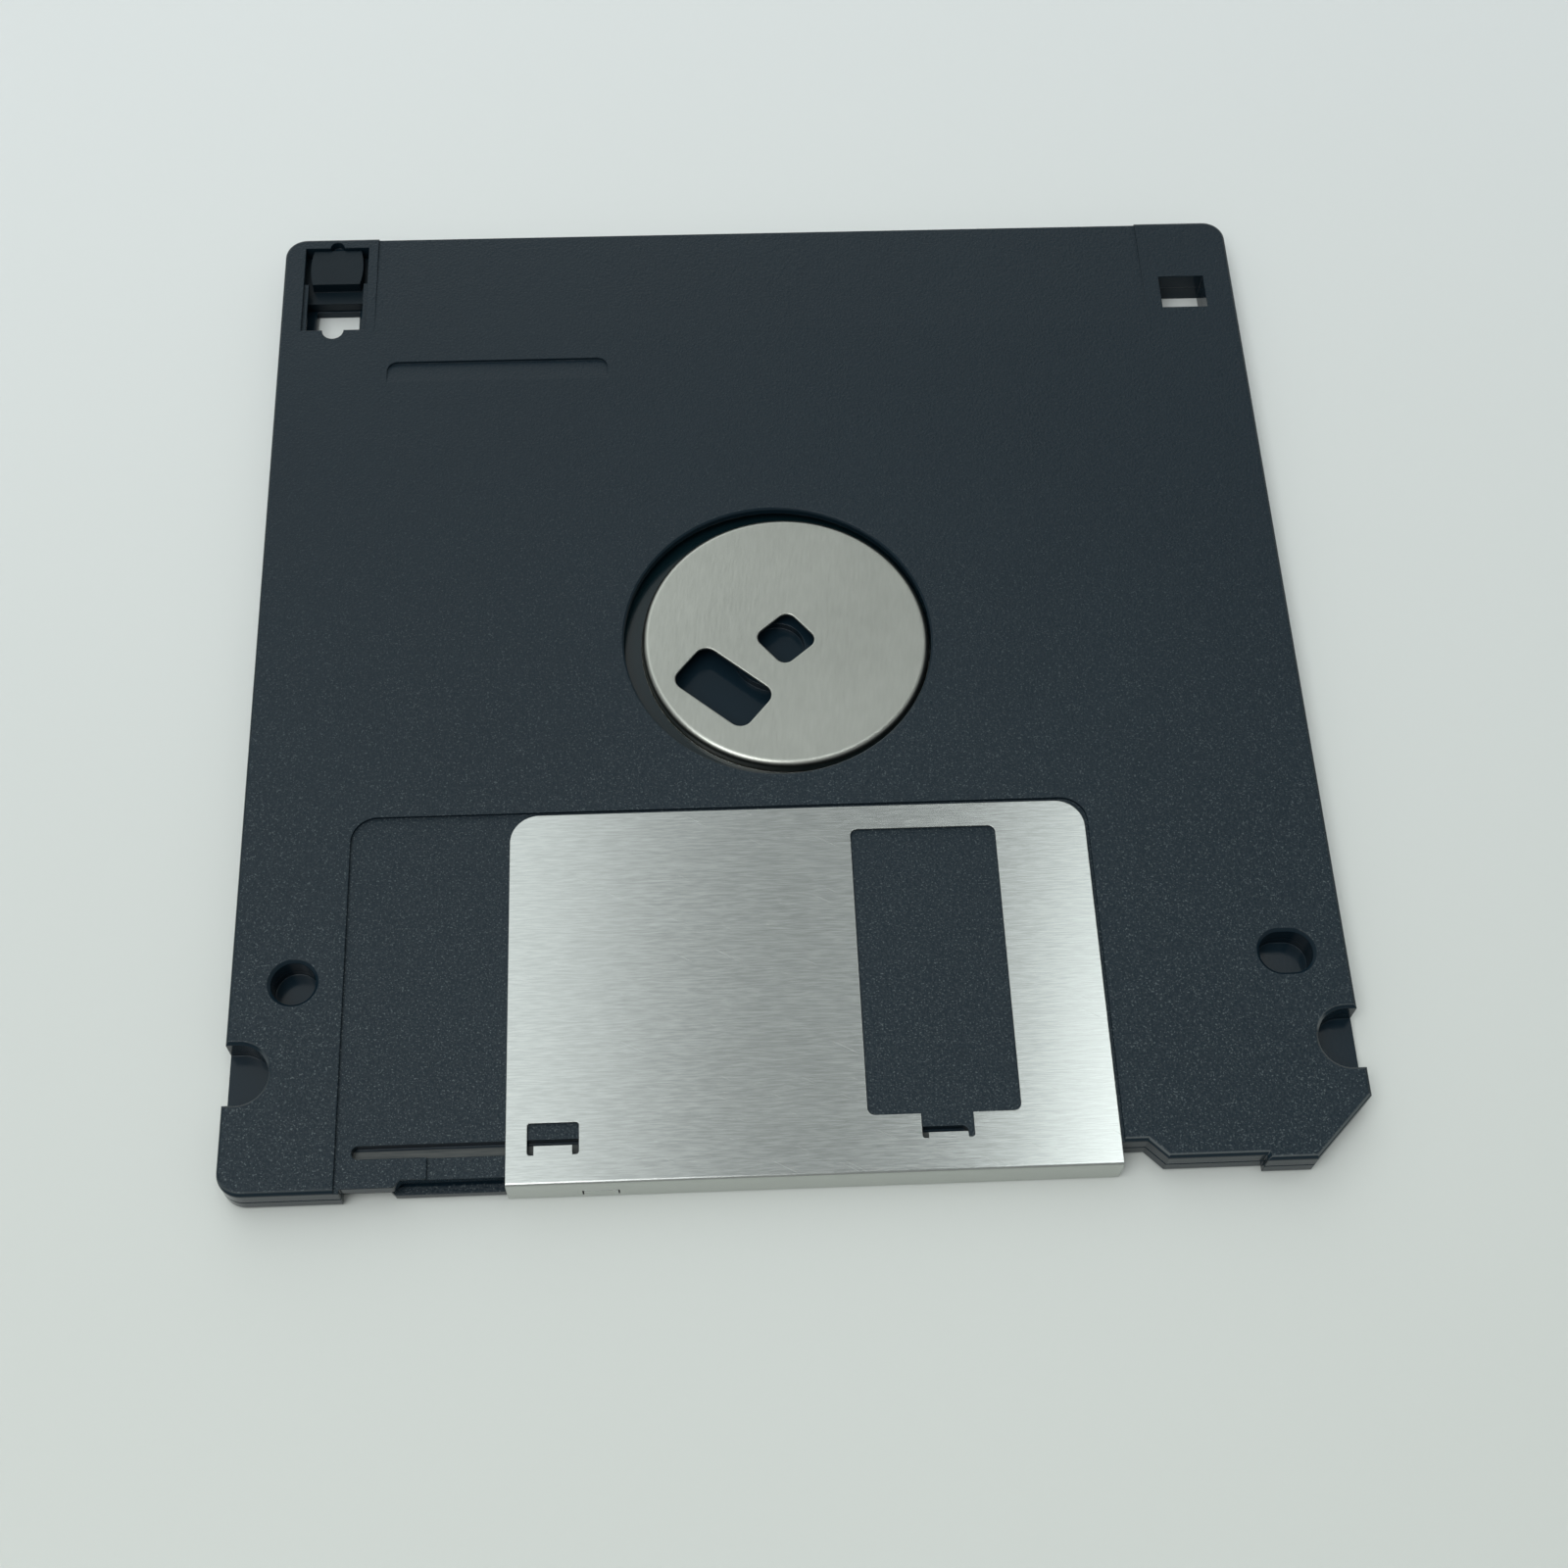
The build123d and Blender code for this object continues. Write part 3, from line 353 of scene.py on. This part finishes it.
def make_table_top():
    """White laminate with a dull gloss, painted a little paler towards the rear as painted light."""
    new, tree, place, shader = material("table_top")
    at = place.outputs["Object"]
    cloud = noise(tree, at, 6.0, 3.0, 0.5)
    fine = noise(tree, at, 900.0, 2.0, 0.5)
    y = split(tree, at)[1]
    # Painted light: the colour grows paler towards the rear, where the room's light is stronger.
    rear = calc(tree, "MULTIPLY_ADD", cloud, 0.2, step(tree, y, -0.13, 0.13, -0.1, 0.9))
    colour = tint(tree, rear, (0.612, 0.648, 0.616), (0.770, 0.810, 0.818))
    rough = calc(tree, "MULTIPLY_ADD", fine, 0.08, 0.34)
    normal = bump(tree, fine, 0.010 * MM, 0.3)
    link(tree, shader, Base_Color=colour, Roughness=rough, Normal=normal)
    return new


# mesh helpers

def solid(name, verts, faces):
    mesh = bpy.data.meshes.new(name)
    mesh.from_pydata([tuple(v) for v in verts], [], faces)
    mesh.validate()
    piece = bpy.data.objects.new(name, mesh)
    bpy.context.collection.objects.link(piece)
    return piece


def skin(rings, sides, turned=False):
    """Quads between rings of points and a flat cap at each end; turned winds them the other way."""
    faces = []
    for ring in range(rings - 1):
        for number in range(sides):
            one = ring * sides + number
            two = ring * sides + (number + 1) % sides
            if turned:
                faces.append((one, one + sides, two + sides, two))
            else:
                faces.append((one, two, two + sides, one + sides))
    first = tuple(range(sides))
    last = tuple(range((rings - 1) * sides, rings * sides))
    faces += [first, last[::-1]] if turned else [first[::-1], last]
    return faces


def tube(name, points, radius, sides=12):
    """A round wire through the points, closed at both ends."""
    verts = []
    side = Vector((0.0, 0.0, 1.0))
    for index, point in enumerate(points):
        before = points[max(index - 1, 0)]
        after = points[min(index + 1, len(points) - 1)]
        along = (after - before).normalized()
        side = (side - along * side.dot(along)).normalized()
        other = along.cross(side)
        for number in range(sides):
            angle = 2 * math.pi * number / sides
            verts.append(point + (side * math.cos(angle) + other * math.sin(angle)) * radius)
    piece = solid(name, verts, skin(len(points), sides))
    piece.data.shade_smooth()
    return piece


def round_corner(before, corner, after, radius, steps=8):
    """Points of the arc that rounds a corner of a bent wire."""
    back = (before - corner).normalized()
    onward = (after - corner).normalized()
    half = back.angle(onward) / 2
    cut = radius / math.tan(half)
    start = corner + back * cut
    middle = corner + (back + onward).normalized() * (radius / math.sin(half))
    axis = (start - middle).cross(corner + onward * cut - middle).normalized()
    sweep = math.pi - 2 * half
    arm = start - middle
    return [middle + Matrix.Rotation(sweep * k / steps, 3, axis) @ arm for k in range(steps + 1)]


def lathe(name, profile, centre, sides):
    """A body of revolution about a line along Z, closed by a flat cap at each profile end."""
    verts = []
    for radius, height in profile:
        for number in range(sides):
            angle = 2 * math.pi * number / sides
            verts.append((centre[0] + radius * math.cos(angle),
                          centre[1] + radius * math.sin(angle), height))
    return solid(name, verts, skin(len(profile), sides, turned=True))


def prism(name, width, length, corner, place, turn, low, high, steps=8):
    """An upright block with a rounded rectangular plan, used to cut a hole."""
    plan = []
    for side_x, side_y, first in ((1, 1, 0), (-1, 1, 90), (-1, -1, 180), (1, -1, 270)):
        for k in range(steps + 1):
            angle = math.radians(first + 90 * k / steps)
            x = side_x * (width / 2 - corner) + corner * math.cos(angle)
            y = side_y * (length / 2 - corner) + corner * math.sin(angle)
            plan.append((place[0] + x * math.cos(turn) - y * math.sin(turn),
                         place[1] + x * math.sin(turn) + y * math.cos(turn)))
    verts = [(x, y, low) for x, y in plan] + [(x, y, high) for x, y in plan]
    return solid(name, verts, skin(2, len(plan)))


def apply_modifiers(piece):
    """Bakes the piece's modifiers into its mesh; the flat faces keep flat normals."""
    even = piece.modifiers.new("even", "WEIGHTED_NORMAL")
    even.weight = 100
    bpy.context.view_layer.update()
    shaped = piece.evaluated_get(bpy.context.evaluated_depsgraph_get())
    final = bpy.data.meshes.new_from_object(shaped)
    piece.modifiers.clear()
    piece.data = final


# the hub: one stamped sheet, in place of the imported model's sharp-edged cup

HUB_CENTRE = (0.72 * MM, 1.52 * MM)
HUB_TURN = math.radians(40.0)
HUB_TOP = 2.80 * MM
HUB_RADIUS = 12.5 * MM
HUB_SHEET = 0.3 * MM
HUB_RIM = 0.55 * MM
HUB_SIDES = 144
RIM_STEPS = 10
FLANGE_RADIUS = 15.5 * MM
FLANGE_TOP = 1.45 * MM
SPINDLE_HOLE = 4.0 * MM
SPINDLE_CORNER = 0.9 * MM
SLOT_WIDTH = 4.7 * MM
SLOT_LENGTH = 7.9 * MM
SLOT_CORNER = 1.1 * MM
SLOT_RADIUS = 7.3 * MM
SLOT_SKEW = math.radians(10.0)
CUTTER_BOTTOM = 2.2 * MM
CUTTER_TOP = 3.1 * MM
ROLLED_EDGE = 0.09 * MM


def make_hub():
    """The stamped cup with a drawn, rounded rim and slightly rolled hole edges."""
    angles = [math.radians(90 * k / RIM_STEPS) for k in range(RIM_STEPS + 1)]
    bend = [(math.sin(angle), math.cos(angle)) for angle in angles]
    knee = (HUB_RADIUS - HUB_RIM, HUB_TOP - HUB_RIM)
    inner = HUB_RIM - HUB_SHEET
    profile = [(knee[0] + HUB_RIM * x, knee[1] + HUB_RIM * z) for x, z in bend]
    profile += [(HUB_RADIUS, FLANGE_TOP), (FLANGE_RADIUS, FLANGE_TOP),
                (FLANGE_RADIUS, FLANGE_TOP - HUB_SHEET),
                (HUB_RADIUS - HUB_SHEET, FLANGE_TOP - HUB_SHEET)]
    profile += [(knee[0] + inner * x, knee[1] + inner * z) for x, z in reversed(bend)]
    cup = lathe("hub_cup", profile, HUB_CENTRE, HUB_SIDES)
    cup.data.shade_smooth()
    reach = HUB_TURN + math.pi
    slot_place = (HUB_CENTRE[0] + SLOT_RADIUS * math.cos(reach),
                  HUB_CENTRE[1] + SLOT_RADIUS * math.sin(reach))
    cutters = [
        prism("spindle_cutter", SPINDLE_HOLE, SPINDLE_HOLE, SPINDLE_CORNER, HUB_CENTRE, HUB_TURN,
              CUTTER_BOTTOM, CUTTER_TOP),
        prism("slot_cutter", SLOT_WIDTH, SLOT_LENGTH, SLOT_CORNER, slot_place, reach + SLOT_SKEW,
              CUTTER_BOTTOM, CUTTER_TOP),
    ]
    for cutter in cutters:
        cut = cup.modifiers.new("hole", "BOOLEAN")
        cut.operation = "DIFFERENCE"
        cut.solver = "EXACT"
        cut.object = cutter
    roll = cup.modifiers.new("roll", "BEVEL")
    roll.limit_method = "ANGLE"
    roll.angle_limit = math.radians(40)
    roll.width = ROLLED_EDGE
    roll.segments = 3
    apply_modifiers(cup)
    for cutter in cutters:
        bpy.data.objects.remove(cutter)
    return cup


# the spring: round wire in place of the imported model's eight-sided one

WIRE_RADIUS = 0.14 * MM
COIL_RADIUS = 2.5 * MM
COIL_PITCH = 0.3 * MM
COIL_CENTRE = Vector((-26.29, -39.40, 1.36)) * MM
COIL_STEPS = 72
CASE_FOOT_X = -35.41 * MM
HOOK_FOOT_X = -17.17 * MM
FOOT_Y = -45.55 * MM
FOOT_LENGTH = 0.9 * MM
FOOT_BEND = 0.5 * MM


def make_spring():
    """A leg from the case, a little over one turn of the coil, and a leg to the shutter's hook."""
    reach = Vector((CASE_FOOT_X, FOOT_Y, COIL_CENTRE.z)) - COIL_CENTRE
    lean = math.acos(COIL_RADIUS / reach.length)
    case_side = math.atan2(reach.y, reach.x) + lean
    hook_reach = Vector((HOOK_FOOT_X, FOOT_Y, COIL_CENTRE.z)) - COIL_CENTRE
    hook_side = math.atan2(hook_reach.y, hook_reach.x) - lean
    sweep = (case_side - hook_side) % (2 * math.pi)
    if sweep < math.pi:
        sweep += 2 * math.pi
    coil = []
    for k in range(COIL_STEPS + 1):
        angle = hook_side + sweep * k / COIL_STEPS
        rise = COIL_PITCH * sweep / (2 * math.pi) * k / COIL_STEPS
        arm = Vector((math.cos(angle), math.sin(angle), 0.0)) * COIL_RADIUS
        coil.append(COIL_CENTRE + arm + Vector((0.0, 0.0, rise)))
    foot = Vector((0.0, FOOT_LENGTH, 0.0))
    hook_knee = Vector((HOOK_FOOT_X, FOOT_Y, coil[0].z))
    case_knee = Vector((CASE_FOOT_X, FOOT_Y, coil[-1].z))
    path = [hook_knee - foot]
    path += round_corner(hook_knee - foot, hook_knee, coil[0], FOOT_BEND)
    path += coil
    path += round_corner(coil[-1], case_knee, case_knee - foot, FOOT_BEND)
    path.append(case_knee - foot)
    return tube("spring_coil", path, WIRE_RADIUS)


# light, table and camera

# The room's light by direction: the right (X), rear (Y) and upward (Z) parts of a unit vector.
# Each pair of them is where a smooth edge starts and ends.
PLAIN_REAR = (-0.7, 0.5)
PLAIN_LIGHT = (0.31, 0.39)  # in front and at the rear
GLOW_WAY = Vector((-0.10, 0.92, 0.36)).normalized()
GLOW_ANGLES = (0.60, 0.10)  # in radians, from its middle
GLOW_GAIN = 0.9
PANEL_UPWARD = (0.45, 0.70)
PANEL_FRONT = (-0.35, -0.15)
PANELS = (  # inner, outer and rear edge, gain
    ((0.0, -0.09), (-0.62, -0.45), (0.90, 0.60), 1.00),
    ((0.13, 0.19), (0.27, 0.21), (0.55, 0.20), 4.7),
)
ROOM_COLOUR = (0.96, 1.0, 0.985, 1.0)
BACKGROUND_COLOUR = (0.66, 0.72, 0.71, 1.0)

TABLE_HALF = 3.0
TABLE_TOP = -0.01 * MM  # just clear of the case's underside


def make_surround():
    """A soft white room: plain light, a glow low at the rear and a broad panel on either side."""
    world = bpy.data.worlds.new("soft_room")
    bpy.context.scene.world = world
    world.use_nodes = True
    tree = world.node_tree
    tree.nodes.clear()
    way = add(tree, "ShaderNodeTexCoord").outputs["Generated"]
    right, rear, upward = split(tree, way)
    light = step(tree, rear, *PLAIN_REAR, *PLAIN_LIGHT)
    near = add(tree, "ShaderNodeVectorMath", {0: way, 1: GLOW_WAY}, operation="DOT_PRODUCT")
    glow = step(tree, near.outputs["Value"], *map(math.cos, GLOW_ANGLES), 0.0, GLOW_GAIN)
    light = calc(tree, "ADD", light, glow)
    for inner, outer, behind, gain in PANELS:
        panel = product(tree, step(tree, upward, *PANEL_UPWARD, 0.0, gain),
                        step(tree, right, *inner), step(tree, right, *outer),
                        step(tree, rear, *PANEL_FRONT), step(tree, rear, *behind))
        light = calc(tree, "ADD", light, panel)
    room = add(tree, "ShaderNodeBackground", {"Color": ROOM_COLOUR, "Strength": light})
    seen = add(tree, "ShaderNodeBackground", {"Color": BACKGROUND_COLOUR, "Strength": 1.0})
    ray = add(tree, "ShaderNodeLightPath").outputs["Is Camera Ray"]
    mix = add(tree, "ShaderNodeMixShader", {0: ray, 1: room.outputs[0], 2: seen.outputs[0]})
    add(tree, "ShaderNodeOutputWorld", {"Surface": mix.outputs[0]})


def make_lamp(name, place, target, size, power):
    data = bpy.data.lights.new(name, "AREA")
    data.shape = "DISK"
    data.size = size
    data.energy = power
    data.color = (1.0, 1.0, 0.99)
    lamp = bpy.data.objects.new(name, data)
    bpy.context.collection.objects.link(lamp)
    lamp.location = place
    lamp.rotation_euler = (Vector(target) - Vector(place)).to_track_quat("-Z", "Y").to_euler()


def make_table(surface):
    table = solid("table", [(x * TABLE_HALF, y * TABLE_HALF, TABLE_TOP)
                            for x, y in ((-1, -1), (1, -1), (1, 1), (-1, 1))], [(0, 1, 2, 3)])
    table.data.materials.append(surface)


def make_camera():
    """The photograph's viewpoint: 17 cm above the table, 5 cm in front of the front edge."""
    data = bpy.data.cameras.new("viewpoint")
    data.sensor_width = 36.0
    data.lens = 51.267
    data.clip_start = 0.005
    data.clip_end = 20.0
    camera = bpy.data.objects.new("viewpoint", data)
    bpy.context.collection.objects.link(camera)
    stand = Vector((-0.00705647, -0.09909838, 0.16927645))
    target = Vector((-0.00007623, -0.01304092, CASE_TOP))
    look = (target - stand).to_track_quat("-Z", "Y").to_matrix()
    roll = Matrix.Rotation(math.radians(2.4423), 3, "Z")
    camera.location = stand
    camera.rotation_euler = (look @ roll).to_euler()
    bpy.context.scene.camera = camera


# the scene

def dress(node, finish):
    """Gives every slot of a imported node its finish."""
    piece = frame["nodes"][node]
    if not piece.data.materials:
        piece.data.materials.append(finish)
    for slot in piece.material_slots:
        slot.link = "OBJECT"
        slot.material = finish


finishes = {
    "case_plastic": make_case_plastic(),
    "shutter_steel": make_shutter_steel(),
    "spring_wire": make_spring_wire(),
    "tab_plastic": make_tab_plastic(),
    "coated_film": make_coated_film(),
    "hub_steel": make_hub_steel(),
    "adhesive": make_adhesive(),
    "liner_fabric": make_liner_fabric(),
    "lifter_plastic": make_lifter_plastic(),
}
for part in frame["record"]["subparts"]:
    dress(part["node"], finishes[part["material_slot"]])

spring = make_spring()
spring.data.materials.append(finishes["spring_wire"])
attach(spring, "case")
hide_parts("shutter_spring")
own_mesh(spring)

hub = make_hub()
hub.data.materials.append(finishes["hub_steel"])
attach(hub, "disk")
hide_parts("hub")

make_surround()
make_lamp("key", place=(-0.34, -0.36, 1.00), target=(0.0, 0.0, 0.0), size=0.7, power=4.5)
make_table(make_table_top())
make_camera()

bpy.context.scene.view_settings.view_transform = "Standard"
